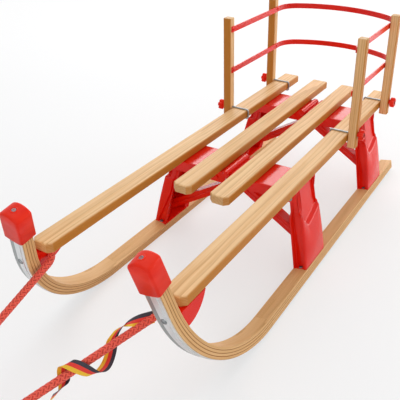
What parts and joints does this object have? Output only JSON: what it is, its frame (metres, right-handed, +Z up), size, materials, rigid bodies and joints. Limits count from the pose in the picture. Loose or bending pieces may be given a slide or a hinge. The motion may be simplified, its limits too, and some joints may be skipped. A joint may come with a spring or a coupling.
{
  "type": "wooden sled",
  "caption": "Folding wooden sled with bent laminated runners, pressed steel trestles, slatted seat, clamped backrest and a tow rope with a wooden handle.",
  "frame": {"origin": "on the floor, in the middle of the sled's length and width, measured without the tow rope, ribbon, knot and handle", "axes": "+X across the sled, to the right when looking along +Y; +Y towards the sled's rear; +Z up"},
  "size_m": [0.4136, 1.5424, 0.456],
  "materials": {
    "wood": "clear lacquered ash or beech with fine grain",
    "polished_steel": "bright rolled steel band",
    "zinc_plated_steel": "zinc plated",
    "red_painted_steel": "glossy red powder coat",
    "red_plastic": "glossy moulded red plastic",
    "red_rope": "braided red cord",
    "striped_ribbon": "woven ribbon striped black, red and gold"
  },
  "bodies": {
    "root": {"runner_left": "wood", "runner_strip_left": "polished_steel", "horn_cap_left": "red_plastic", "horn_bracket_left": "red_painted_steel", "runner_right": "wood", "runner_strip_right": "polished_steel", "horn_cap_right": "red_plastic", "horn_bracket_right": "red_painted_steel", "slat_outer_left": "wood", "slat_inner_left": "wood", "slat_inner_right": "wood", "slat_outer_right": "wood", "beam_front_left": "red_painted_steel", "leg_front_left": "red_painted_steel", "hip_pin_front_left": "zinc_plated_steel", "strut_front_left": "red_painted_steel", "backrest_post_front_left": "wood", "clamp_hook_front_left": "zinc_plated_steel", "star_knob_front_left": "red_plastic", "beam_front_right": "red_painted_steel", "leg_front_right": "red_painted_steel", "hip_pin_front_right": "zinc_plated_steel", "strut_front_right": "red_painted_steel", "backrest_post_front_right": "wood", "clamp_hook_front_right": "zinc_plated_steel", "star_knob_front_right": "red_plastic", "middle_bracket_front": "red_painted_steel", "beam_rear_left": "red_painted_steel", "leg_rear_left": "red_painted_steel", "hip_pin_rear_left": "zinc_plated_steel", "strut_rear_left": "red_painted_steel", "backrest_post_rear_left": "wood", "clamp_hook_rear_left": "zinc_plated_steel", "star_knob_rear_left": "red_plastic", "beam_rear_right": "red_painted_steel", "leg_rear_right": "red_painted_steel", "hip_pin_rear_right": "zinc_plated_steel", "strut_rear_right": "red_painted_steel", "backrest_post_rear_right": "wood", "clamp_hook_rear_right": "zinc_plated_steel", "star_knob_rear_right": "red_plastic", "middle_bracket_rear": "red_painted_steel", "lock_plate": "zinc_plated_steel", "backrest_rail_lower": "red_painted_steel", "backrest_rail_upper": "red_painted_steel", "tow_rope_left": "red_rope", "tow_rope_right": "red_rope", "ribbon": "striped_ribbon", "tow_knot": "red_rope", "tow_handle": "wood"}
  },
  "joints": []
}
